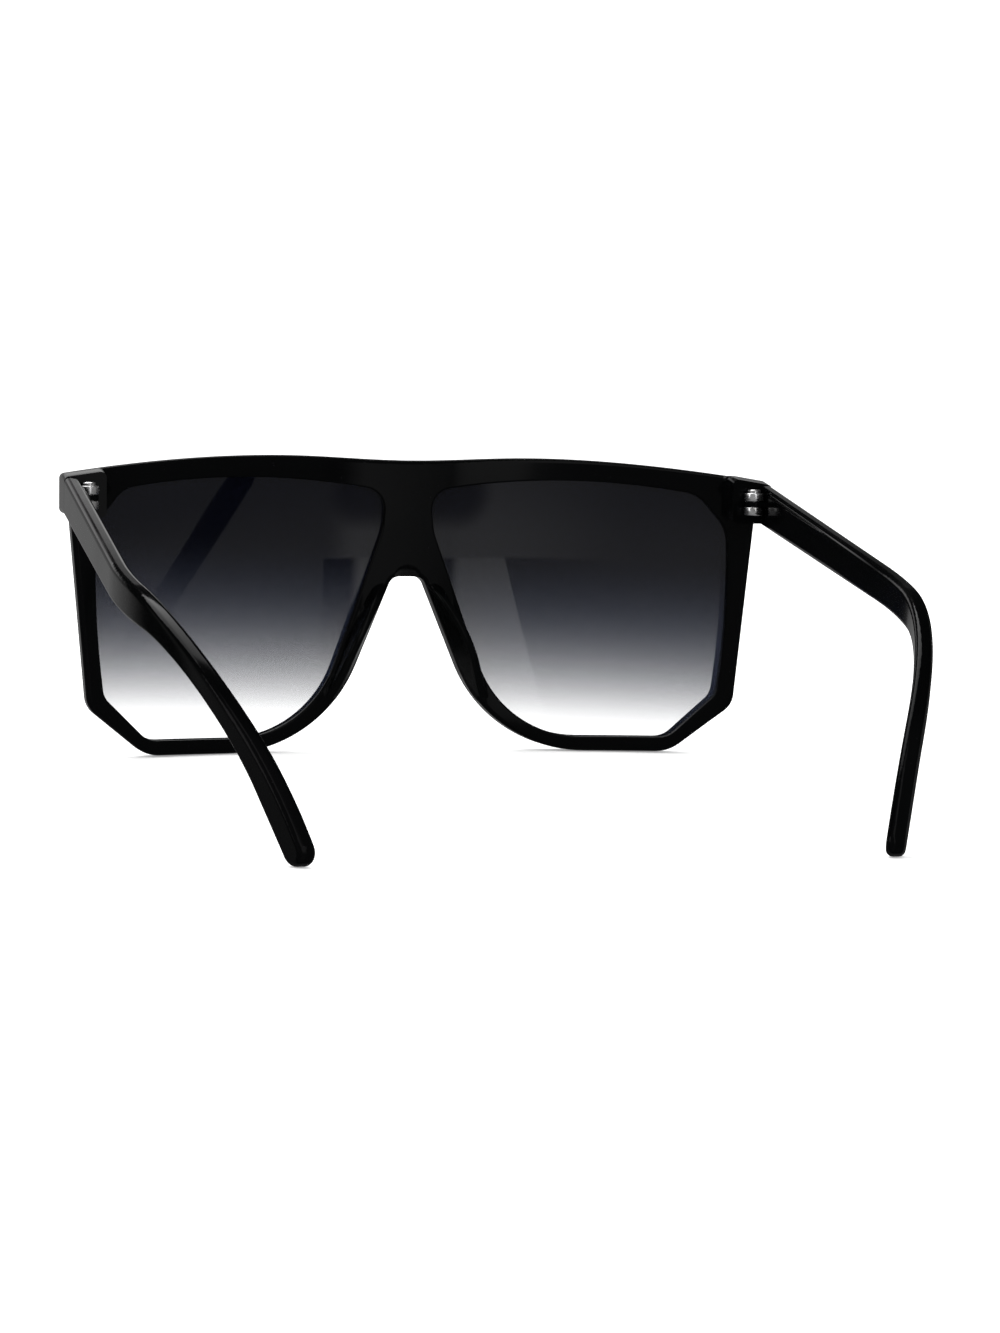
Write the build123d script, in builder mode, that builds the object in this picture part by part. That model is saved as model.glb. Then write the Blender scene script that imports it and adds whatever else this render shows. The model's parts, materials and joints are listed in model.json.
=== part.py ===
# Flat top sunglasses with two folding temples, in millimetres.
# X runs across the face to the wearer's left, Y from the front to the temple tips, and Z is up.
# The origin is on the floor below the middle of the part: rims and temple tips stand on Z = 0.
import os
from math import asin, atan2, cos, hypot, radians, sin, sqrt, tan

from build123d import *

os.makedirs("parts", exist_ok=True)

# The front, seen square on. Heights run up along the front from the feet of the rims.
front_width = 150.0
crown_height = 62.6
crown_spread = 44.0
bridge_dip = 0.75
lug_step = 1.9
side_taper = 3.8
corner_cut_width = 12.8
corner_cut_height = 10.3
nose_bend_width = 22.0
nose_bend_share = 0.497
nose_top_width = 6.6
bridge_height = 25.4
lug_foot_radius = 0.6
side_radius = 5.0
foot_radius = 8.0
nose_corner_radius = 2.4

# The front, seen from above: a flat middle and an arc to each side, one thickness all over.
face_flat = 19.0
face_radius = 160.0
rim_depth = 5.2
front_lean = 2.4
rim_round = 1.0
opening_round = 0.35

# The lens openings, between the brow, the side, the foot and the bridge.
brow_rim = 4.65
brow_sag = 2.7
lens_corner_inset = 13.3
lens_corner_fall = 14.6
lens_cut_height = 12.4
side_rim_top = 5.4
side_rim = 3.75
lens_foot_inset = 0.3
foot_rim = 3.1
nose_rim = 4.8
bridge_waist_width = 11.0
bridge_waist_fall = 15.6
bridge_top_width = 9.9
lens_top_radius = 6.5
lens_side_radius = 8.0
lens_cut_radius = 4.0
lens_foot_radius = 5.0
lens_nose_radius = 15.0
lens_bridge_radius = 4.5

# The lenses and their grooves.
lens_thickness = 2.0
groove_depth = 1.2
lens_clearance = 0.1

# The nose pads, moulded on the back of the rims, and the saddle between them. The pads rise
# and flare smoothly from both ends: shares of the height of the nose opening, of the depth, of the flare.
pad_depth = 5.6
pad_sink = 1.2
pad_flare = 2.3
pad_root_width = 4.1
pad_ridge_width = 1.7
pad_round = 0.6
pad_round_start_share = 0.33
pad_height_shares = (0.97, 0.88, 0.74, 0.58, 0.42, 0.27)
pad_depth_shares = (0.0, 0.62, 1.0, 1.0, 0.6, 0.0)
pad_flare_shares = (0.0, 0.45, 0.85, 1.0, 0.8, 0.3)
saddle_height = 2.6
saddle_depth = 1.6
saddle_radius = 5.0

# The lugs and the temples. The shaft is the temple's straight stretch.
shaft_height = 8.0
hinge_fall = 9.3
lug_length = 3.9
mitre_gap = 0.15
lug_thickness = 8.6
temple_thickness = 3.3
temple_round = 1.15
shaft_length = 89.6
neck_height = 6.3
ear_top_radius = 72.0
ear_top_turn = 54.4
ear_foot_turn = 49.5
ear_foot_radius = 50.0
tip_radius = 2.6
bow_start = 72.0
bow_radius = 132.0
bow_turn = 26.6

# The hinges: two metal eyelets on the front, a tongue on the temple and a screw down through them.
pin_inset = 4.8
pin_setback = 2.4
eyelet_radius = 1.95
eyelet_height = 1.75
tongue_height = 1.05
tongue_radius = 1.85
tongue_clearance = 0.08
screw_radius = 0.7
screw_running_clearance = 0.06
screw_seat_clearance = 0.02
screw_head_radius = 1.35
screw_head_height = 0.8
screw_head_round = 0.25
screw_slot_width = 0.4
screw_slot_depth = 0.4
anchor_width = 2.4
anchor_length = 4.0
anchor_clearance = 0.03
notch_length = 7.6
notch_clearance = 0.35

# How squarely a face must look along a direction to be picked, as the cosine of the angle between them.
sheet_facing_share = 0.8
side_facing_share = 0.5
end_facing_share = 0.99

overrun = 10.0

# Places that follow from the sizes above.
half_width = front_width / 2
flat_half = face_flat / 2
side_half = half_width - lug_step
cut_half = side_half - side_taper
foot_half = cut_half - corner_cut_width
nose_half = nose_top_width / 2
nose_height = crown_height - bridge_height
nose_bend_half = nose_bend_width / 2
nose_bend_height = nose_height * nose_bend_share
flank_run = nose_bend_half - nose_half
flank_fall = nose_height - nose_bend_height
flank_length = hypot(flank_run, flank_fall)
bend_radius = nose_bend_height / (1 - flank_run / flank_length)
foot_gap_half = nose_bend_half + bend_radius * flank_fall / flank_length
hinge_height = crown_height - hinge_fall
lean_cos = cos(radians(front_lean))
lean_sin = sin(radians(front_lean))


def sheet_depth(x, forward=0.0):
    """Depth behind the flat middle, at x, of a sheet face that lies this far forward of the back face."""
    side = max(abs(x) - flat_half, 0)
    radius = face_radius + forward
    return face_radius - sqrt(radius * radius - side * side)


corner_depth = sheet_depth(half_width)
mitre_depth = corner_depth + lug_length
pin_x = half_width - pin_inset
pin_depth = mitre_depth + pin_setback

# The temple's outline ends in an arc over the ear and a round tip, about a centre in the shaft's frame.
shaft_top = shaft_height / 2
neck_top = neck_height / 2
taper = atan2(shaft_top - neck_top, shaft_length)
top_turn = radians(ear_top_turn)
foot_turn = radians(ear_foot_turn)
tip_top_x = shaft_length + ear_top_radius * (sin(top_turn) - sin(taper))
tip_top_y = neck_top + ear_top_radius * (cos(top_turn) - cos(taper))
tip_x = tip_top_x - tip_radius * sin(top_turn)
tip_y = tip_top_y - tip_radius * cos(top_turn)
tip_foot_x = tip_x - tip_radius * sin(foot_turn)
tip_foot_y = tip_y - tip_radius * cos(foot_turn)
ear_foot_x = tip_foot_x + (tip_foot_y + neck_top) / tan(foot_turn)

# The temples slope down from the hinges until their tips meet the floor that the rims stand on.
mitre_rise = mitre_depth * lean_sin + hinge_height * lean_cos
temple_drop = asin((mitre_rise - tip_radius) / hypot(tip_x, tip_y)) - atan2(-tip_y, tip_x)
drop_cos = cos(temple_drop)
drop_sin = sin(temple_drop)
hinge_slope = temple_drop + radians(front_lean)
slope_tan = tan(hinge_slope)
slope_cos = cos(hinge_slope)

# The feet of the front stand before the origin, so that the whole part is centred on it.
mitre_run = mitre_depth * lean_cos - hinge_height * lean_sin
tip_run = mitre_run + tip_x * drop_cos + tip_y * drop_sin + tip_radius
brow_run = -rim_depth * lean_cos - crown_height * lean_sin
front_y = -(tip_run + brow_run) / 2

# Working planes. The first three share an origin at the foot of the front, the last two at the mitre.
front_foot = (0, front_y, 0)
face = Plane(origin=front_foot, x_dir=(1, 0, 0), z_dir=(0, -lean_cos, -lean_sin))
plan = Plane(origin=front_foot, x_dir=(1, 0, 0), z_dir=(0, -lean_sin, lean_cos))
profile = Plane(origin=front_foot, x_dir=(0, lean_cos, lean_sin), z_dir=(1, 0, 0))
mitre_point = (0, front_y + mitre_run, mitre_rise)
shaft_side = Plane(origin=mitre_point, x_dir=(0, drop_cos, -drop_sin), z_dir=(1, 0, 0))
shaft_plan = Plane(origin=mitre_point, x_dir=(0, drop_cos, -drop_sin), z_dir=(0, -drop_sin, -drop_cos))


def round_corner(sketch, x, height, radius):
    """Rounds the corner of a face sketch that lies nearest to this place on the front."""
    corner = sketch.vertices().sort_by_distance((x, height, 0))[0]
    fillet(corner, radius)


# The front's outline. From its upper corners the lugs run back at the slope of the temples.
corner_height = hinge_height + shaft_top / slope_cos + lug_length * slope_tan
lug_foot_height = corner_height - shaft_height / slope_cos
crown_half = crown_spread / 2
brow_fall = corner_height - crown_height

with BuildSketch(face) as outline:
    with BuildLine():
        Spline(
            (0, crown_height - bridge_dip),
            (crown_half, crown_height),
            (half_width, corner_height),
            tangents=[(1, 0), (half_width - crown_half, 2 * brow_fall)],
        )
        Polyline(
            (half_width, corner_height),
            (half_width, lug_foot_height),
            (side_half, lug_foot_height),
            (cut_half, corner_cut_height),
            (foot_half, 0),
            (foot_gap_half, 0),
        )
        TangentArc(
            (nose_bend_half, nose_bend_height),
            (foot_gap_half, 0),
            tangent=(flank_run, -flank_fall),
        )
        Polyline(
            (nose_bend_half, nose_bend_height),
            (nose_half, nose_height),
            (0, nose_height),
            (0, crown_height - bridge_dip),
        )
    make_face()
    round_corner(outline, half_width, corner_height, temple_round)
    round_corner(outline, half_width, lug_foot_height, temple_round)
    round_corner(outline, side_half, lug_foot_height, lug_foot_radius)
    round_corner(outline, cut_half, corner_cut_height, side_radius)
    round_corner(outline, foot_half, 0, foot_radius)
    round_corner(outline, nose_half, nose_height, nose_corner_radius)
    mirror(about=Plane.YZ)


def side_x(height):
    """Half width of the front between the lugs and the cut corners."""
    share = (height - corner_cut_height) / (lug_foot_height - corner_cut_height)
    return cut_half + (side_half - cut_half) * share


def lens_shape(grow=0.0):
    """The left lens opening, or a shape this much larger all round."""
    brow_line = crown_height - brow_rim
    brow_end = brow_line - brow_sag
    lens_corner_height = crown_height - lens_corner_fall
    middle_height = (lens_corner_height + lens_cut_height) / 2
    waist_height = crown_height - bridge_waist_fall
    corner_half = half_width - lens_corner_inset
    top_half = bridge_top_width / 2
    waist_half = bridge_waist_width / 2
    side_top = (side_x(lens_corner_height) - side_rim_top, lens_corner_height)
    side_middle = (side_x(middle_height) - side_rim, middle_height)
    side_foot = (side_x(lens_cut_height) - side_rim, lens_cut_height)
    foot_out = (foot_half - lens_foot_inset, foot_rim)
    nose_foot = (nose_bend_half + nose_rim, nose_bend_height)
    run = nose_foot[0] - waist_half
    fall = waist_height - nose_bend_height
    bend = (nose_bend_height - foot_rim) / (1 - run / hypot(run, fall))
    foot_in = (nose_foot[0] + bend * fall / hypot(run, fall), foot_rim)
    with BuildSketch(face) as shape:
        with BuildLine():
            ThreePointArc(
                (top_half, brow_end),
                ((top_half + corner_half) / 2, brow_line),
                (corner_half, brow_end),
            )
            Line((corner_half, brow_end), side_top)
            ThreePointArc(side_top, side_middle, side_foot)
            Polyline(side_foot, foot_out, foot_in)
            TangentArc(nose_foot, foot_in, tangent=(run, -fall))
            Polyline(nose_foot, (waist_half, waist_height), (top_half, brow_end))
        make_face()
        round_corner(shape, corner_half, brow_end, lens_top_radius)
        round_corner(shape, *side_top, lens_side_radius)
        round_corner(shape, *side_foot, lens_cut_radius)
        round_corner(shape, *foot_out, lens_foot_radius)
        round_corner(shape, waist_half, waist_height, lens_nose_radius)
        round_corner(shape, top_half, brow_end, lens_bridge_radius)
        if grow:
            offset(amount=grow)
    return shape.sketch


def sheet_plan(back, front):
    """Plan section of a curved sheet between two faces, given by how far forward each one lies."""
    end = half_width + overrun
    with BuildSketch(plan) as section:
        with BuildLine():
            Line((0, -back), (flat_half, -back))
            TangentArc((flat_half, -back), (end, sheet_depth(end, back)), tangent=(1, 0))
            Line((end, sheet_depth(end, back)), (end, sheet_depth(end, front)))
            TangentArc((flat_half, -front), (end, sheet_depth(end, front)), tangent=(1, 0))
            Polyline((flat_half, -front), (0, -front), (0, -back))
        make_face()
        mirror(about=Plane.YZ)
    return section.sketch


def lens_solid(grow, clearance):
    """The left lens, or with a clearance the seat that it lies in."""
    back = (rim_depth - lens_thickness) / 2 - clearance
    front = (rim_depth + lens_thickness) / 2 + clearance
    with BuildPart() as solid:
        extrude(lens_shape(grow), amount=half_width, both=True)
        extrude(sheet_plan(back, front), amount=crown_height, mode=Mode.INTERSECT)
    return solid.part


def eyelet_foot(level):
    """Height of the foot of the lower (0) or upper (1) eyelet; the tongue runs between them."""
    gap = tongue_height / 2 + tongue_clearance
    return hinge_height + gap if level else hinge_height - gap - eyelet_height


stack_foot = eyelet_foot(0)
stack_top = eyelet_foot(1) + eyelet_height

# The front: the curved plate with the lugs, drawn back along the temples as far as the mitres.
lug_inner_x = half_width - lug_thickness
lug_middle = half_width - lug_thickness / 2
lug_start_depth = (sheet_depth(lug_inner_x) + sheet_depth(half_width, rim_depth)) / 2
lug_middle_height = lug_foot_height + half_width / 2
shaft_way = (0, drop_cos, -drop_sin)

with BuildSketch(face.offset(-corner_depth)) as lug_section:
    add(outline.sketch_local)
    with Locations((lug_middle, lug_middle_height)):
        Rectangle(lug_thickness, half_width, mode=Mode.INTERSECT)
    fillet(lug_section.vertices().group_by(Axis.X)[0], temple_round)

with BuildPart() as lug:
    extrude(lug_section.sketch, amount=lug_length / slope_cos, dir=shaft_way)
    extrude(lug_section.sketch, amount=corner_depth - lug_start_depth)

# The nose pads stand on the backs of the rims and flare away from the nose as they rise.
def nose_x(height):
    """Half width of the nose opening: straight flanks above, an arc to each side below."""
    if height > nose_bend_height:
        return nose_half + flank_run * (nose_height - height) / flank_fall
    rise = bend_radius - height
    return foot_gap_half - sqrt(bend_radius * bend_radius - rise * rise)


def pad_section(height_share, depth_share, flare_share):
    """A level section of the left pad: a root sunk in the rim and a rounded ridge behind it."""
    height = nose_height * height_share
    root_x = nose_x(height)
    ridge_x = root_x + pad_flare * flare_share
    ridge_depth = (pad_depth + pad_sink) * depth_share - pad_sink / 2
    corners = [
        (root_x, -pad_sink),
        (root_x + pad_root_width, -pad_sink),
        (ridge_x + pad_ridge_width, ridge_depth),
        (ridge_x, ridge_depth),
    ]
    with BuildSketch(plan.offset(height)) as section:
        with BuildLine():
            Polyline(*corners, close=True)
        make_face()
    return section.sketch


with BuildPart() as pad:
    shares = zip(pad_height_shares, pad_depth_shares, pad_flare_shares)
    loft([pad_section(*three) for three in shares])
    round_start = pad_depth * pad_round_start_share
    fillet(pad.edges().filter_by(lambda e: plan.to_local_coords(e.center()).Y > round_start), pad_round)

# The saddle: a groove that slants down and forward through the back edge of the bridge.
saddle_way = (0, -saddle_depth * lean_cos + saddle_height * lean_sin, -saddle_height * lean_cos)
saddle_back = profile.from_local_coords((0, nose_height + saddle_height, 0))
with BuildSketch(Plane(origin=saddle_back, x_dir=(1, 0, 0), z_dir=saddle_way)) as saddle_section:
    with Locations((0, -saddle_radius)):
        Circle(saddle_radius)

# The hinge leaves: an anchor set in the lug and two eyelets behind it, bored for the screw.
with BuildPart() as hinge_leaf_left:
    with BuildSketch(plan.offset(stack_foot)):
        with Locations((pin_x, mitre_depth - anchor_length / 2)):
            Rectangle(anchor_width, anchor_length)
    extrude(amount=stack_top - stack_foot)
    for level in (0, 1):
        with BuildSketch(plan.offset(eyelet_foot(level))):
            with Locations((pin_x, pin_depth)):
                Circle(eyelet_radius)
            with Locations((pin_x, mitre_depth + pin_setback / 2)):
                Rectangle(anchor_width, pin_setback)
        extrude(amount=eyelet_height)
    with BuildSketch(plan.offset(stack_foot)):
        with Locations((pin_x, pin_depth)):
            Circle(screw_radius + screw_seat_clearance)
    extrude(amount=stack_top - stack_foot, mode=Mode.SUBTRACT)

with BuildPart() as hinge_screw_left:
    with BuildSketch(plan.offset(stack_foot)):
        with Locations((pin_x, pin_depth)):
            Circle(screw_radius)
    extrude(amount=stack_top - stack_foot)
    with BuildSketch(plan.offset(stack_top)):
        with Locations((pin_x, pin_depth)):
            Circle(screw_head_radius)
    extrude(amount=screw_head_height)
    head_top = hinge_screw_left.edges().sort_by(Axis((0, 0, 0), tuple(plan.z_dir)))[-1]
    fillet(head_top, screw_head_round)
    with BuildSketch(plan.offset(stack_top + screw_head_height)):
        with Locations((pin_x, pin_depth)):
            Rectangle(2 * screw_head_radius, screw_slot_width)
    extrude(amount=-screw_slot_depth, mode=Mode.SUBTRACT)


def rim_edges(faces):
    """The edges at which walls meet the front and the back of the sheet, among these faces of the front."""
    sheets = faces.filter_by(lambda f: abs(f.normal_at().dot(face.z_dir)) > sheet_facing_share)
    return (faces - sheets).edges() & sheets.edges()


# The front, cut from the curved plate and joined with its lugs and pads.
pocket_grow = 2 * anchor_clearance
with BuildPart() as opening:
    extrude(lens_shape(), amount=half_width, both=True)

with BuildPart() as left_cuts:
    add(lens_solid(groove_depth, lens_clearance))
    with BuildSketch(plan.offset(stack_foot - anchor_clearance)):
        with Locations((pin_x, mitre_depth - anchor_length / 2)):
            Rectangle(anchor_width + pocket_grow, anchor_length + pocket_grow)
    extrude(amount=stack_top - stack_foot + pocket_grow)

with BuildPart() as front_frame:
    extrude(sheet_plan(0, rim_depth), amount=crown_height + overrun, both=True)
    extrude(outline.sketch, amount=half_width, both=True, mode=Mode.INTERSECT)
    fillet(rim_edges(front_frame.faces()), rim_round)
    add(lug.part)
    mirror(lug.part, about=Plane.YZ)
    extrude(saddle_section.sketch, amount=front_width, both=True, mode=Mode.SUBTRACT)
    add(opening.part, mode=Mode.SUBTRACT)
    fillet(rim_edges(front_frame.faces(Select.LAST)), opening_round)
    mirror(opening.part, about=Plane.YZ, mode=Mode.SUBTRACT)
    fillet(rim_edges(front_frame.faces(Select.LAST)), opening_round)
    add(left_cuts.part, mode=Mode.SUBTRACT)
    mirror(left_cuts.part, about=Plane.YZ, mode=Mode.SUBTRACT)
    add(pad.part)
    mirror(pad.part, about=Plane.YZ)

# The lenses, a little smaller and thinner than their seats.
with BuildPart() as lens_left:
    add(lens_solid(groove_depth - lens_clearance, 0))

# The temples, seen from the side: the tapering shaft, the bend over the ear and the tip.
ear_foot_slope = (shaft_top - neck_top) / ear_foot_x
cap_turn = (top_turn + foot_turn) / 2


def mitre_end(edge, slope):
    """Where an edge of the shaft, at this height and slope, meets the cut that faces the lug."""
    along = (mitre_gap - edge * sin(hinge_slope)) / (cos(hinge_slope) + slope * sin(hinge_slope))
    return (along, edge + slope * along)


with BuildSketch(shaft_side) as temple_profile:
    with BuildLine():
        Line(mitre_end(shaft_top, -tan(taper)), (shaft_length, neck_top))
        TangentArc((shaft_length, neck_top), (tip_top_x, tip_top_y), tangent=(cos(taper), -sin(taper)))
        ThreePointArc(
            (tip_top_x, tip_top_y),
            (tip_x + tip_radius * cos(cap_turn), tip_y - tip_radius * sin(cap_turn)),
            (tip_foot_x, tip_foot_y),
        )
        FilletPolyline(
            (tip_foot_x, tip_foot_y),
            (ear_foot_x, -neck_top),
            mitre_end(-shaft_top, ear_foot_slope),
            radius=ear_foot_radius,
        )
        Line(mitre_end(-shaft_top, ear_foot_slope), mitre_end(shaft_top, -tan(taper)))
    make_face()

# The same temple from above: straight, then bowed in behind the ear, one thickness all along.
bow = radians(bow_turn)
bow_end_x = bow_start + bow_radius * sin(bow)
bow_end_y = half_width - bow_radius * (1 - cos(bow))


def bowed(inset):
    """The straight, the bow and the far straight of a line this far inside the outer face."""
    bow_end = (bow_end_x - inset * sin(bow), bow_end_y - inset * cos(bow))
    far_end = (bow_end[0] + shaft_length * cos(bow), bow_end[1] - shaft_length * sin(bow))
    return (-overrun, half_width - inset), (bow_start, half_width - inset), bow_end, far_end


with BuildSketch(shaft_plan) as temple_plan:
    outer = bowed(0)
    inner = bowed(temple_thickness)
    with BuildLine():
        Line(outer[0], outer[1])
        TangentArc(outer[1], outer[2], tangent=(1, 0))
        Line(outer[2], outer[3])
        Line(outer[3], inner[3])
        Line(inner[3], inner[2])
        TangentArc(inner[1], inner[2], tangent=(1, 0))
        Line(inner[1], inner[0])
        Line(inner[0], outer[0])
    make_face()

notch_x = pin_x + eyelet_radius + notch_clearance
tongue_root_x = half_width - temple_thickness / 2
with BuildPart() as temple_left:
    extrude(temple_profile.sketch, amount=front_width)
    extrude(temple_plan.sketch, amount=front_width, both=True, mode=Mode.INTERSECT)
    sides = temple_left.faces().filter_by(lambda f: abs(f.normal_at().X) > side_facing_share)
    walls = temple_left.faces() - sides
    ends = walls.filter_by(lambda f: f.normal_at().dot(face.z_dir) > end_facing_share)
    fillet((walls - ends).edges() & sides.edges(), temple_round)
    with BuildSketch(plan):
        with Locations((notch_x - overrun / 2, mitre_depth + (notch_length - overrun) / 2)):
            Rectangle(overrun, notch_length + overrun)
    extrude(amount=front_width, mode=Mode.SUBTRACT)
    with BuildSketch(plan.offset(hinge_height - tongue_height / 2)):
        with Locations((pin_x, pin_depth)):
            Circle(tongue_radius)
        with Locations(((pin_x + tongue_root_x) / 2, pin_depth)):
            Rectangle(tongue_root_x - pin_x, 2 * tongue_radius)
    extrude(amount=tongue_height)
    with BuildSketch(plan.offset(stack_foot)):
        with Locations((pin_x, pin_depth)):
            Circle(screw_radius + screw_running_clearance)
    extrude(amount=stack_top - stack_foot, mode=Mode.SUBTRACT)

nodes = {
    "lens": lens_left.part,
    "hinge_leaf": hinge_leaf_left.part,
    "hinge_screw": hinge_screw_left.part,
    "temple": temple_left.part,
}
front_frame.part.label = "front_frame"
export_step(front_frame.part, "parts/front_frame.step")
for name, left in nodes.items():
    with BuildPart() as right:
        mirror(left, about=Plane.YZ)
    left.label = name + "_left"
    right.part.label = name + "_right"
    export_step(left, "parts/" + left.label + ".step")
    export_step(right.part, "parts/" + right.part.label + ".step")
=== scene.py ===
# Flat top sunglasses, dressed for a studio shot: black moulded frame, graded lenses, bright hinges.
# Metres throughout. +X is the wearer's left, +Y runs back to the temple tips, Z = 0 is the table.
import json
import math

import bmesh
import bpy
from mathutils import Matrix, Vector


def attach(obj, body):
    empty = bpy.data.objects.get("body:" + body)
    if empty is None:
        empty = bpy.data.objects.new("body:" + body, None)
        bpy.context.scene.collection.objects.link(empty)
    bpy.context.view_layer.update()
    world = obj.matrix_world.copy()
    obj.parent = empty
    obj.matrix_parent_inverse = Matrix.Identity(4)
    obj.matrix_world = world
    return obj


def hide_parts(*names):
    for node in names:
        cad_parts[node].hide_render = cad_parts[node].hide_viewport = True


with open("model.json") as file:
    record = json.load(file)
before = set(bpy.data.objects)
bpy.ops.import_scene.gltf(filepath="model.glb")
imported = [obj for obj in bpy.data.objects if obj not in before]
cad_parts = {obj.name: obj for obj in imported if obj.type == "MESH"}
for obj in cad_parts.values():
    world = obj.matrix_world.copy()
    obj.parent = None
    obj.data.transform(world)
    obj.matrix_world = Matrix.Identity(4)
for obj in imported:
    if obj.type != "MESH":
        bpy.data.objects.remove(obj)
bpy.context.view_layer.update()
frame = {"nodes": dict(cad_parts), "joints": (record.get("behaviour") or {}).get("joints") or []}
MM = 0.001
TABLE_TOP = -0.1 * MM


# ---------------------------------------------------------------- node expressions
class Wire:
    """A node socket that takes part in sums, products and comparisons."""

    def __init__(self, tree, socket):
        self.tree = tree
        self.socket = socket

    def _maths(self, operation, first, second):
        return self.tree.node("ShaderNodeMath", {"operation": operation}, {0: first, 1: second})[0]

    def __add__(self, other):
        return self._maths("ADD", self, other)

    __radd__ = __add__

    def __sub__(self, other):
        return self._maths("SUBTRACT", self, other)

    def __rsub__(self, other):
        return self._maths("SUBTRACT", other, self)

    def __mul__(self, other):
        return self._maths("MULTIPLY", self, other)

    __rmul__ = __mul__

    def __truediv__(self, other):
        return self._maths("DIVIDE", self, other)

    def __rtruediv__(self, other):
        return self._maths("DIVIDE", other, self)

    def __pow__(self, other):
        return self._maths("POWER", self, other)

    def __rpow__(self, other):
        return self._maths("POWER", other, self)

    def __gt__(self, other):
        return self._maths("GREATER_THAN", self, other)

    def at_least(self, other):
        return self._maths("MAXIMUM", self, other)

    def smooth(self, low, high, to_low=0.0, to_high=1.0):
        """This value eased from one range to another."""
        values = {0: self, 1: low, 2: high, 3: to_low, 4: to_high}
        return self.tree.node("ShaderNodeMapRange", {"interpolation_type": "SMOOTHSTEP"}, values)[0]

    def blend_number(self, first, second):
        """A number between two, by this value."""
        return self.tree.node("ShaderNodeMix", {"data_type": "FLOAT"}, {0: self, 2: first, 3: second})[0]

    def blend(self, first, second):
        """A colour between two, by this value."""
        values = {0: self, 6: first, 7: second}
        return self.tree.node("ShaderNodeMix", {"data_type": "RGBA"}, values)[2]


class Nodes:
    """A node tree and the one way in which its nodes are made."""

    def __init__(self, tree):
        self.tree = tree
        self.tree.nodes.clear()

    def node(self, kind, settings, values):
        made = self.tree.nodes.new(kind)
        for key, value in settings.items():
            setattr(made, key, value)
        for key, value in values.items():
            if isinstance(value, Wire):
                self.tree.links.new(value.socket, made.inputs[key])
            else:
                made.inputs[key].default_value = value
        return [Wire(self, socket) for socket in made.outputs]


class Finish(Nodes):
    """A procedural material whose patterns lie in the object's own coordinates."""

    def __init__(self, name):
        self.material = bpy.data.materials.new(name)
        self.material.use_nodes = True
        super().__init__(self.material.node_tree)
        self.place = self.node("ShaderNodeTexCoord", {}, {})[3]

    def noise(self, scale, detail=2.0, roughness=0.5, stretch=None):
        place = self.place
        if stretch:
            place = self.node("ShaderNodeMapping", {}, {"Vector": place, "Scale": stretch})[0]
        values = {"Vector": place, "Scale": scale, "Detail": detail, "Roughness": roughness}
        return self.node("ShaderNodeTexNoise", {}, values)[0]

    def axis(self, name):
        split = self.node("ShaderNodeSeparateXYZ", {}, {0: self.place})
        return split["XYZ".index(name)]

    def facing(self, name):
        """1 where the surface looks along this axis, -1 where it looks the other way."""
        normal = self.node("ShaderNodeTexCoord", {}, {})[1]
        split = self.node("ShaderNodeSeparateXYZ", {}, {0: normal})
        return (split["XYZ".index(name)] > 0.0) * 2.0 - 1.0

    def bump(self, height, strength, distance):
        values = {"Height": height, "Strength": strength, "Distance": distance}
        return self.node("ShaderNodeBump", {}, values)[0]

    def done(self, **values):
        """The material, with a Principled shader of these values on its surface."""
        named = {key.replace("_", " ").title().replace("Ior", "IOR"): value for key, value in values.items()}
        surface = self.node("ShaderNodeBsdfPrincipled", {}, named)[0]
        self.node("ShaderNodeOutputMaterial", {}, {"Surface": surface})
        return self.material


def moulded_black():
    """Polished injection-moulded plastic: near black, with faint flow lines, haze and a few specks."""
    jet, charcoal, dust = (0.0004, 0.0005, 0.0005, 1), (0.0013, 0.0014, 0.0016, 1), (0.006, 0.006, 0.007, 1)
    finish = Finish("moulded black plastic")
    haze = finish.noise(scale=38.0, detail=3.0)
    flow = finish.noise(scale=240.0, detail=2.0, stretch=(0.25, 1.0, 1.0))
    speck = finish.noise(scale=2100.0, detail=1.0).smooth(0.76, 0.82)
    peel = finish.noise(scale=420.0, detail=1.0)
    tone = (haze * 0.7 + flow * 0.3).blend(jet, charcoal)
    return finish.done(
        base_color=speck.blend(tone, dust),
        roughness=haze.smooth(0.35, 0.75, 0.08, 0.15) + flow * 0.02 + speck * 0.1,
        ior=1.45,
        specular_ior_level=0.07,
        normal=finish.bump(peel, strength=0.08, distance=0.02 * MM),
    )


# The tint of a lens: clear up to a height that rises a little to one side, then darker upwards, at
# first slowly and then faster. The heights between which its colour goes from blue to black.
CLEAR_HEIGHT = 4.7 * MM
TINT_SLOPE = 0.03
TINT_START = 50.0
TINT_GROWTH = 1150.0
CLEAREST = 0.94
COLOUR_CHANGE = (0.012, 0.045)
# The slight bowl of its polish: the height of its middle and its radius.
BOWL_HEIGHT = 27.0 * MM
BOWL_RADIUS = 168.5 * MM


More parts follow.
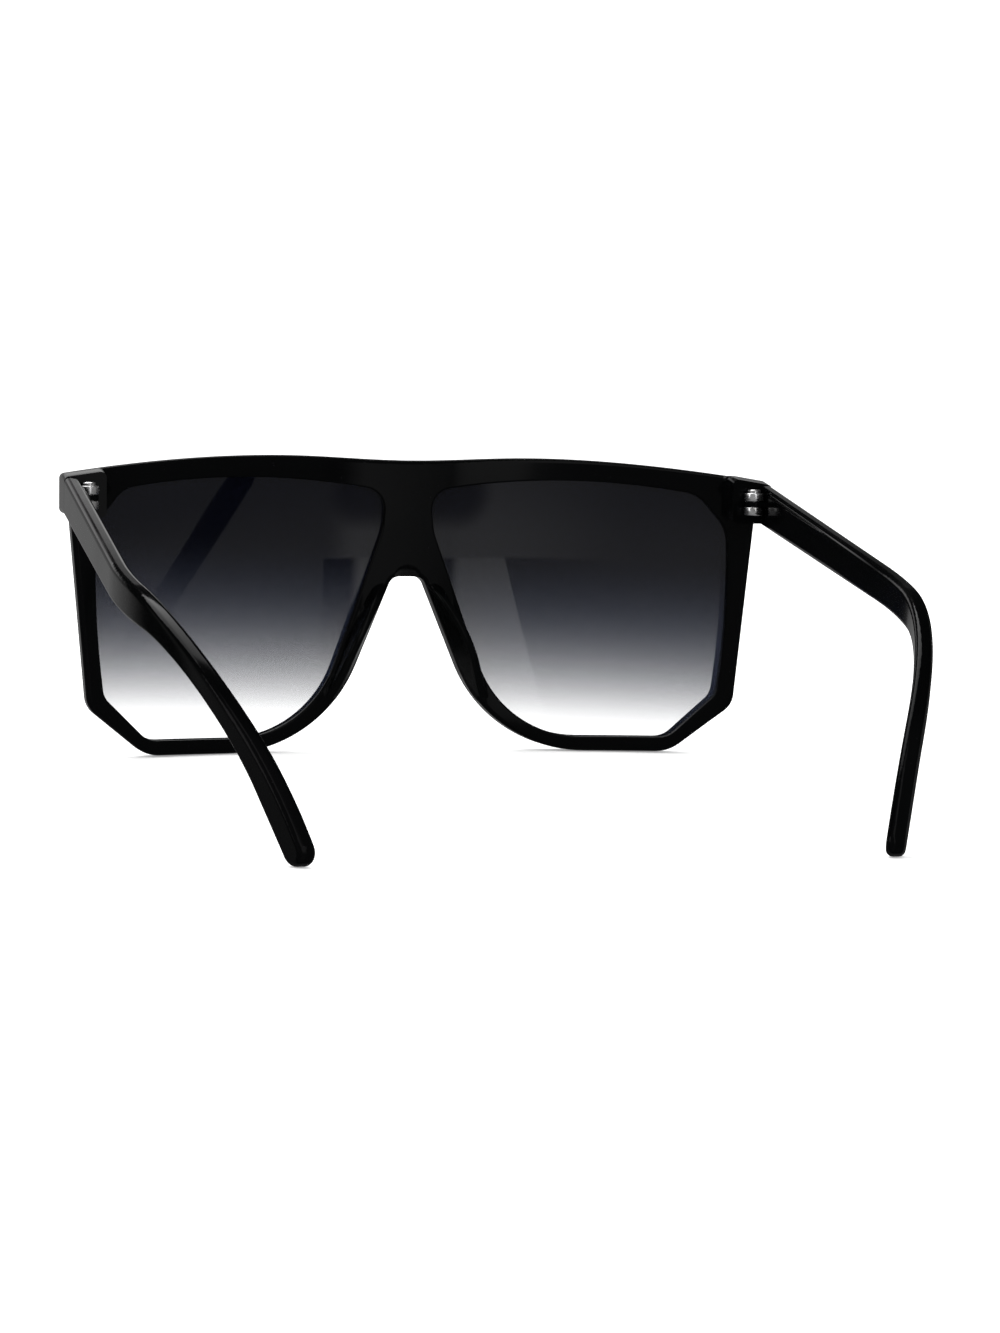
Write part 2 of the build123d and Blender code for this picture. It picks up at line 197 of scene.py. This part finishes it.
def graded_lens():
    """Smoke grey sheet that lets through ever less light from its foot up to the brow.

    Its polish has the slight vertical curve of a pressed lens, so that it mirrors like a shallow bowl.
    """
    blue, smoke = (0.018, 0.024, 0.046, 1), (0.0012, 0.0014, 0.0030, 1)
    finish = Finish("graded smoke lens")
    smear = finish.noise(scale=70.0, detail=3.0)
    unevenness = finish.noise(scale=14.0, detail=1.0) * (1.0 * MM)
    height = finish.axis("Z") - finish.axis("X") * TINT_SLOPE + unevenness
    rise = (height - CLEAR_HEIGHT).at_least(0.0)
    clear = math.e ** (rise * -TINT_START - rise * rise * TINT_GROWTH)
    from_middle = finish.axis("Z") - BOWL_HEIGHT
    bowl = from_middle * from_middle * finish.facing("Y") * (0.5 / BOWL_RADIUS)
    return finish.done(
        base_color=height.smooth(*COLOUR_CHANGE).blend(blue, smoke),
        roughness=smear.smooth(0.4, 0.8, 0.012, 0.03),
        ior=1.52,
        alpha=1.0 - clear * CLEAREST,
        normal=finish.bump(bowl, strength=1.0, distance=1.0),
    )


def bright_metal():
    """Nickel-plated eyelets and screws, with fine turning lines and slight tarnish."""
    bright, dull = (0.84, 0.84, 0.85, 1), (0.60, 0.59, 0.58, 1)
    finish = Finish("bright nickel")
    lines = finish.noise(scale=1500.0, detail=2.0, stretch=(0.2, 0.2, 3.0))
    tarnish = finish.noise(scale=420.0, detail=3.0)
    return finish.done(
        base_color=tarnish.smooth(0.35, 0.8).blend(bright, dull),
        metallic=1.0,
        roughness=lines.smooth(0.3, 0.7, 0.16, 0.30),
        normal=finish.bump(lines, strength=0.2, distance=0.02 * MM),
    )


def pale_table():
    """Matt, nearly white board with a faint cloudiness and a little light of its own."""
    shaded, clean = (0.93, 0.93, 0.93, 1), (0.95, 0.95, 0.95, 1)
    finish = Finish("pale table")
    return finish.done(
        base_color=finish.noise(scale=9.0, detail=4.0).blend(shaded, clean),
        roughness=1.0,
        specular_ior_level=0.0,
        emission_color=(1, 1, 1, 1),
        emission_strength=0.3,
    )


black = moulded_black()
metal = bright_metal()
lens = graded_lens()

pin = frame["joints"][0]["pos_m"]
lean = math.asin(-frame["joints"][0]["axis"][1])

# The sheet that the lenses are cut from: where its foot stands, half its flat middle, its bend,
# and how nearly a facet has to look its way to be one of its two faces.
FRONT_Y = -74.677 * MM
SHEET_FLAT = 9.5 * MM
SHEET_RADIUS = 160.0 * MM
SHEET_LIKENESS = 0.99

# Points this close are one, faces this nearly level are one, and sharper corners stay sharp.
WELD_REACH = 0.002 * MM
LEVEL_WITHIN = 0.004
MOULDED_CREASE = math.radians(32.0)
METAL_CREASE = math.radians(28.0)
FLAT_FACE_WEIGHT = 90


# ---------------------------------------------------------------- moulded pieces and lenses
def polished_copy(node, name, material):
    """A welded copy of a CAD piece whose rounded edges carry smooth highlights."""
    welded = bmesh.new()
    welded.from_mesh(frame["nodes"][node].data)
    bmesh.ops.remove_doubles(welded, verts=welded.verts, dist=WELD_REACH)
    bmesh.ops.dissolve_limit(welded, angle_limit=LEVEL_WITHIN, verts=welded.verts, edges=welded.edges)
    mesh = bpy.data.meshes.new(name)
    welded.to_mesh(mesh)
    welded.free()
    mesh.materials.clear()
    mesh.materials.append(material)
    mesh.polygons.foreach_set("material_index", [0] * len(mesh.polygons))
    mesh.shade_smooth()
    mesh.set_sharp_from_angle(angle=MOULDED_CREASE)
    piece = bpy.data.objects.new(name, mesh)
    bpy.context.scene.collection.objects.link(piece)
    if material is lens:
        follow_sheet(mesh)
    else:
        weigh = piece.modifiers.new("even shading", "WEIGHTED_NORMAL")
        weigh.weight = FLAT_FACE_WEIGHT
        weigh.keep_sharp = True
    return piece


def sheet_normal(place):
    """Which way the back of the curved front looks here: a flat middle and an arc to each side."""
    side = max(abs(place.x) - SHEET_FLAT, 0.0)
    depth = (place.y - FRONT_Y) * math.cos(lean) + place.z * math.sin(lean)
    bend = math.atan2(side, SHEET_RADIUS - depth)
    across = -math.copysign(math.sin(bend), place.x)
    return Vector((across, math.cos(bend) * math.cos(lean), math.cos(bend) * math.sin(lean)))


def follow_sheet(mesh):
    """Shades both faces of a lens as the smooth sheet that its flat facets stand for."""
    normals = [Vector((0, 0, 0))] * len(mesh.loops)
    for face in mesh.polygons:
        way = face.normal.dot(sheet_normal(face.center))
        if abs(way) > SHEET_LIKENESS:
            for loop in face.loop_indices:
                place = mesh.vertices[mesh.loops[loop].vertex_index].co
                normals[loop] = sheet_normal(place) * math.copysign(1.0, way)
    mesh.normals_split_custom_set(normals)


dressed = {
    "front_frame": ("front", "black_plastic", black),
    "lens_left": ("front", "smoke_lens", lens),
    "lens_right": ("front", "smoke_lens", lens),
    "temple_left": ("temple_left", "black_plastic", black),
    "temple_right": ("temple_right", "black_plastic", black),
}
for node, (body, slot, material) in dressed.items():
    piece = polished_copy(node, "polished_" + node, material)
    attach(piece, body)
    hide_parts(node)


# ---------------------------------------------------------------- hinge fittings, which repeat
class Recipe(Nodes):
    """A Geometry Nodes tree with named sizes, which ends in real geometry of one material."""

    def __init__(self, name, sizes):
        super().__init__(bpy.data.node_groups.new(name, "GeometryNodeTree"))
        self.sizes = sizes
        self.sockets = {}
        for label, value in sizes.items():
            kind = "NodeSocketInt" if isinstance(value, int) else "NodeSocketFloat"
            self.sockets[label] = self.tree.interface.new_socket(
                label, in_out="INPUT", socket_type=kind
            )
        self.tree.interface.new_socket(
            "Geometry", in_out="OUTPUT", socket_type="NodeSocketGeometry"
        )
        self.given = dict(zip(sizes, self.node("NodeGroupInput", {}, {})))

    def vector(self, x=0.0, y=0.0, z=0.0):
        return self.node("ShaderNodeCombineXYZ", {}, {0: x, 1: y, 2: z})[0]

    def join(self, parts):
        made = self.tree.nodes.new("GeometryNodeJoinGeometry")
        for part in parts:
            self.tree.links.new(part.socket, made.inputs[0])
        return Wire(self, made.outputs[0])

    def bar(self, width, height, start, end, edge):
        """A bar along Y with rounded long edges, between two places."""
        sizes = {"Width": width, "Height": height}
        shape = self.node("GeometryNodeCurvePrimitiveQuadrilateral", {}, sizes)[0]
        path = self.node("GeometryNodeCurvePrimitiveLine", {}, {"Start": start, "End": end})[0]
        return self.swept(shape, edge, path)

    def swept(self, shape, edge, path):
        """A closed outline with rounded corners, drawn along a path."""
        values = {"Curve": shape, "Radius": edge, "Limit Radius": True, "Count": 4}
        shape = self.node("GeometryNodeFilletCurve", {"mode": "POLY"}, values)[0]
        values = {0: path, "Profile Curve": shape, "Fill Caps": True}
        return self.node("GeometryNodeCurveToMesh", {}, values)[0]

    def moved(self, part, place, turn=(0.0, 0.0, 0.0)):
        values = {0: part, "Translation": place, "Rotation": turn}
        return self.node("GeometryNodeTransform", {}, values)[0]

    def repeated(self, part, start, step, count, turn=(0.0, 0.0, 0.0)):
        """Copies of a part on a row of places."""
        values = {"Count": count, "Start Location": start, "Offset": step}
        row = self.node("GeometryNodeMeshLine", {}, values)[0]
        values = {"Points": row, "Instance": part, "Rotation": turn}
        return self.node("GeometryNodeInstanceOnPoints", {}, values)[0]

    def built(self, name, geometry, material, body, slot, nodes):
        """One plain mesh of the result, which rides on its body in place of the CAD nodes."""
        real = self.node("GeometryNodeRealizeInstances", {}, {0: geometry})[0]
        done = self.node("GeometryNodeSetMaterial", {}, {"Geometry": real, "Material": material})[0]
        self.node("NodeGroupOutput", {}, {"Geometry": done})
        seed = bpy.data.objects.new(name + " seed", bpy.data.meshes.new(name + " seed"))
        bpy.context.scene.collection.objects.link(seed)
        modifier = seed.modifiers.new("recipe", "NODES")
        modifier.node_group = self.tree
        for label, value in self.sizes.items():
            modifier[self.sockets[label].identifier] = value
        evaluated = seed.evaluated_get(bpy.context.evaluated_depsgraph_get())
        mesh = bpy.data.meshes.new_from_object(evaluated)
        bpy.data.objects.remove(seed)
        tidy = bmesh.new()
        tidy.from_mesh(mesh)
        bmesh.ops.remove_doubles(tidy, verts=tidy.verts, dist=0.001 * MM)
        bmesh.ops.recalc_face_normals(tidy, faces=tidy.faces)
        tidy.to_mesh(mesh)
        tidy.free()
        mesh.shade_smooth()
        mesh.set_sharp_from_angle(angle=METAL_CREASE)
        piece = bpy.data.objects.new(name, mesh)
        bpy.context.scene.collection.objects.link(piece)
        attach(piece, body)
        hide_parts(*nodes)


def eyelets():
    """Two rounded rings a side with their necks, and the anchor that runs into the lug."""
    recipe = Recipe(
        "hinge eyelets",
        {
            "Ring radius": 1.95 * MM,
            "Bore radius": 0.72 * MM,
            "Ring height": 1.75 * MM,
            "Edge round": 0.26 * MM,
            "Neck width": 2.4 * MM,
            "Neck length": 2.4 * MM,
            "Anchor length": 4.0 * MM,
            "Level step": 2.96 * MM,
            "Levels": 2,
            "Sides": 2,
            "Side reach": pin[0],
            "Pin depth": pin[1],
            "Pin height": pin[2],
        },
    )
    (
        ring_radius, bore, height, edge, width, neck, anchor,
        step, levels, sides, reach, depth, rise,
    ) = recipe.given.values()
    wall = ring_radius - bore
    values = {"Resolution": 56, "Radius": bore + wall / 2}
    path = recipe.node("GeometryNodeCurvePrimitiveCircle", {}, values)[0]
    values = {"Width": wall, "Height": height}
    band = recipe.node("GeometryNodeCurvePrimitiveQuadrilateral", {}, values)[0]
    ring = recipe.swept(band, edge, path)
    inner_end = recipe.vector(0.0, (bore + edge) * -1)
    stalk = recipe.bar(width, height, recipe.vector(0.0, neck * -1), inner_end, edge)
    eyelet = recipe.join([ring, stalk])
    pair = recipe.repeated(eyelet, recipe.vector(z=step * -0.5), recipe.vector(z=step), levels)
    anchor_end = recipe.vector(0.0, (neck + anchor) * -1)
    block = recipe.bar(width, step + height, anchor_end, recipe.vector(0.0, neck * -1), edge)
    one_side = recipe.join([pair, block])
    start = recipe.vector(reach * -1, depth, rise)
    both = recipe.repeated(one_side, start, recipe.vector(reach * 2), sides, (lean, 0.0, 0.0))
    leaves = ("hinge_leaf_left", "hinge_leaf_right")
    recipe.built("hinge_eyelets", both, metal, "front", "hinge_metal", leaves)


def screws():
    """A domed, slotted head on a plain shank, once a side."""
    recipe = Recipe(
        "hinge screws",
        {
            "Shank radius": 0.7 * MM,
            "Shank length": 4.71 * MM,
            "Head radius": 1.35 * MM,
            "Head height": 0.8 * MM,
            "Head dome": 0.24 * MM,
            "Slot width": 0.4 * MM,
            "Slot depth": 0.4 * MM,
            "Slot turn": 0.5,
            "Sides": 2,
            "Side reach": pin[0],
            "Pin depth": pin[1],
            "Pin height": pin[2],
        },
    )
    (
        shank, length, radius, height, dome, slot, slot_depth, turn,
        sides, reach, depth, rise,
    ) = recipe.given.values()
    settings = {"fill_type": "TRIANGLE_FAN"}
    values = {"Vertices": 48, "Side Segments": 5, "Fill Segments": 9}
    values.update({"Radius": radius, "Depth": height})
    blank = recipe.node("GeometryNodeMeshCylinder", settings, values)[0]
    place = recipe.node("GeometryNodeInputPosition", {}, {})[0]
    x, y, z = recipe.node("ShaderNodeSeparateXYZ", {}, {0: place})
    share = (x * x + y * y) / (radius * radius)
    rising = (z / height + 0.5) ** 3
    drop = rising * share ** 4 * dome
    values = {"Geometry": blank, "Offset": recipe.vector(z=drop * -1)}
    head = recipe.node("GeometryNodeSetPosition", {}, values)[0]
    size = recipe.vector(radius * 3, slot, slot_depth * 2)
    cutter = recipe.node("GeometryNodeMeshCube", {}, {"Size": size})[0]
    cutter = recipe.moved(cutter, recipe.vector(z=height / 2))
    values = {"Mesh 1": head, "Mesh 2": cutter}
    settings = {"operation": "DIFFERENCE", "solver": "EXACT"}
    head = recipe.node("GeometryNodeMeshBoolean", settings, values)[0]
    head = recipe.moved(head, recipe.vector(z=(length + height) / 2), recipe.vector(z=turn))
    values = {"Vertices": 32, "Radius": shank, "Depth": length}
    body = recipe.node("GeometryNodeMeshCylinder", {}, values)[0]
    screw = recipe.join([head, body])
    start = recipe.vector(reach * -1, depth, rise)
    both = recipe.repeated(screw, start, recipe.vector(reach * 2), sides, (lean, 0.0, 0.0))
    pair = ("hinge_screw_left", "hinge_screw_right")
    recipe.built("hinge_screws", both, metal, "front", "hinge_metal", pair)


eyelets()
screws()


# ---------------------------------------------------------------- table, light and camera
TABLE_HALF = 6.0
corners = [(-1, -1), (1, -1), (1, 1), (-1, 1)]
table_mesh = bpy.data.meshes.new("table")
table_mesh.from_pydata(
    [(side * TABLE_HALF, end * TABLE_HALF, TABLE_TOP) for side, end in corners], [], [(0, 1, 2, 3)]
)
table_mesh.materials.append(pale_table())
table = bpy.data.objects.new("table", table_mesh)
bpy.context.scene.collection.objects.link(table)
table.visible_glossy = False


def softbox(name, place, target, size, power):
    """A soft rectangular lamp that looks at a target and isn't seen itself."""
    light = bpy.data.lights.new(name, "AREA")
    light.shape = "RECTANGLE"
    light.size, light.size_y = size
    light.energy = power
    lamp = bpy.data.objects.new(name, light)
    aim = Vector(place) - Vector(target)
    lamp.rotation_mode = "QUATERNION"
    lamp.rotation_quaternion = aim.to_track_quat("Z", "Y")
    lamp.location = place
    lamp.visible_camera = False
    bpy.context.scene.collection.objects.link(lamp)


softbox("top softbox", place=(0.25, -0.55, 1.1), target=(0, 0, 0), size=(1.1, 0.8), power=9)
softbox("side softbox", place=(1.4, 0.25, 0.6), target=(0, 0, 0.03), size=(0.5, 0.9), power=3)

# The room that the polished faces mirror. Behind the glasses a direction is given by its steps
# across and above for one step back, and each thing there by where it begins and is whole.
GRAZING = 0.05
REAR_WALL = (0.0, 0.3)
TABLE_EDGE = (-0.140, -0.150)
FAR_GLOW, NEAR_GLOW, EVERYWHERE = 0.20, 0.21, 0.01
LIT_SIDE = (-0.245, -0.208)
BOARD_TILT, BOARD_EDGE, BOARD_RISE = 0.285, (-0.058, -0.062), (-0.2, 0.12, 0.35, 1.3)
GAP_EDGE, GAP_SHADE = (-0.312, -0.306), 0.17
SIDE_RISE, SIDE_GLOW = (0.0, 0.35), 0.05
TABLE_LIT, TABLE_FADE, TABLE_SHADE = (-0.31, -0.22), (0.25, -0.20, 0.25, 0.46), (-0.32, -0.17, 0.7, 1.0)
PATCH_LEFT, PATCH_DOWN, PATCH_EDGE, PATCH_SHADE = 0.220, 0.290, (0.0085, 0.0006), 0.7
# Before the glasses it is given by how far it goes ahead and up.
WINDOW_AHEAD, WINDOW_TOP, WINDOW_FOOT, WINDOW_GLOW = (0.85, 0.93), (0.405, 0.37), (0.18, 0.27), 0.8
WALL_AHEAD, WALL_TOP, WALL_GLOW = (0.84, 0.95), (0.40, 0.34), 0.28
CORNER_AHEAD, CORNER_START, CORNER_GLOW = (0.72, 0.62), (0.0, 0.2), 0.25
# What lights the scene, as against what it mirrors.
DAYLIGHT = 1.12


def room_seen(room):
    """How bright the room is in the direction that a polished face mirrors."""
    direction = room.node("ShaderNodeTexCoord", {}, {})[0]
    x, y, z = room.node("ShaderNodeSeparateXYZ", {}, {0: direction})
    across = x / y.at_least(GRAZING)
    above = z / y.at_least(GRAZING)
    ahead = y * -1
    window = ahead.smooth(*WINDOW_AHEAD) * z.smooth(*WINDOW_TOP) * z.smooth(*WINDOW_FOOT)
    corner = ahead.smooth(*CORNER_AHEAD) * ahead.smooth(*CORNER_START)
    wall = ahead.smooth(*WALL_AHEAD) * WALL_GLOW + corner * CORNER_GLOW
    lit = across.smooth(*LIT_SIDE)
    slant = across - above * BOARD_TILT
    board = lit * slant.smooth(*BOARD_EDGE) * above.smooth(*BOARD_RISE)
    gap = across.smooth(*GAP_EDGE) * (1.0 - lit)
    far = FAR_GLOW + board - gap * GAP_SHADE + slant.smooth(*SIDE_RISE) * SIDE_GLOW
    left = across + PATCH_LEFT
    down = above + PATCH_DOWN
    patch = (left * left + down * down).smooth(*PATCH_EDGE)
    near = across.smooth(*TABLE_LIT).blend_number(NEAR_GLOW, across.smooth(*TABLE_FADE))
    near = near * above.smooth(*TABLE_SHADE)
    behind = above.smooth(*TABLE_EDGE).blend_number(far, near - near * patch * PATCH_SHADE)
    behind = y.smooth(*REAR_WALL) * behind
    return behind + wall * z.smooth(*WALL_TOP) + window * WINDOW_GLOW + EVERYWHERE


world = bpy.data.worlds.new("studio")
bpy.context.scene.world = world
world.use_nodes = True
room = Nodes(world.node_tree)
mirrored = room.node("ShaderNodeLightPath", {}, {})[3]
tone = mirrored.blend_number(DAYLIGHT, room_seen(room))
surface = room.node("ShaderNodeBackground", {}, {"Color": (1, 1, 1, 1), "Strength": tone})[0]
room.node("ShaderNodeOutputWorld", {}, {"Surface": surface})

# The camera of the photograph, fitted to it: its axes, its place and its focal length.
SENSOR = 36.0
FRAME_HEIGHT = 1333.0
FOCAL_LENGTH = 3300.0
NEAREST = 0.01
CAMERA_PLACE = (151.397, 607.001, 83.256)
back = Vector((0.24303406, 0.96561766, 0.09228749))
right = Vector((-0.97001528, 0.24214619, 0.02087072))
up = Vector((-0.00219393, -0.09459257, 0.99551365))
lens_data = bpy.data.cameras.new("camera")
lens_data.sensor_width = SENSOR
lens_data.lens = FOCAL_LENGTH * SENSOR / FRAME_HEIGHT
lens_data.clip_start = NEAREST
camera = bpy.data.objects.new("camera", lens_data)
turn = Matrix((right, up, back)).transposed().to_4x4()
camera.matrix_world = Matrix.Translation(Vector(CAMERA_PLACE) * MM) @ turn
bpy.context.scene.collection.objects.link(camera)
bpy.context.scene.camera = camera
bpy.context.scene.view_settings.view_transform = "Standard"
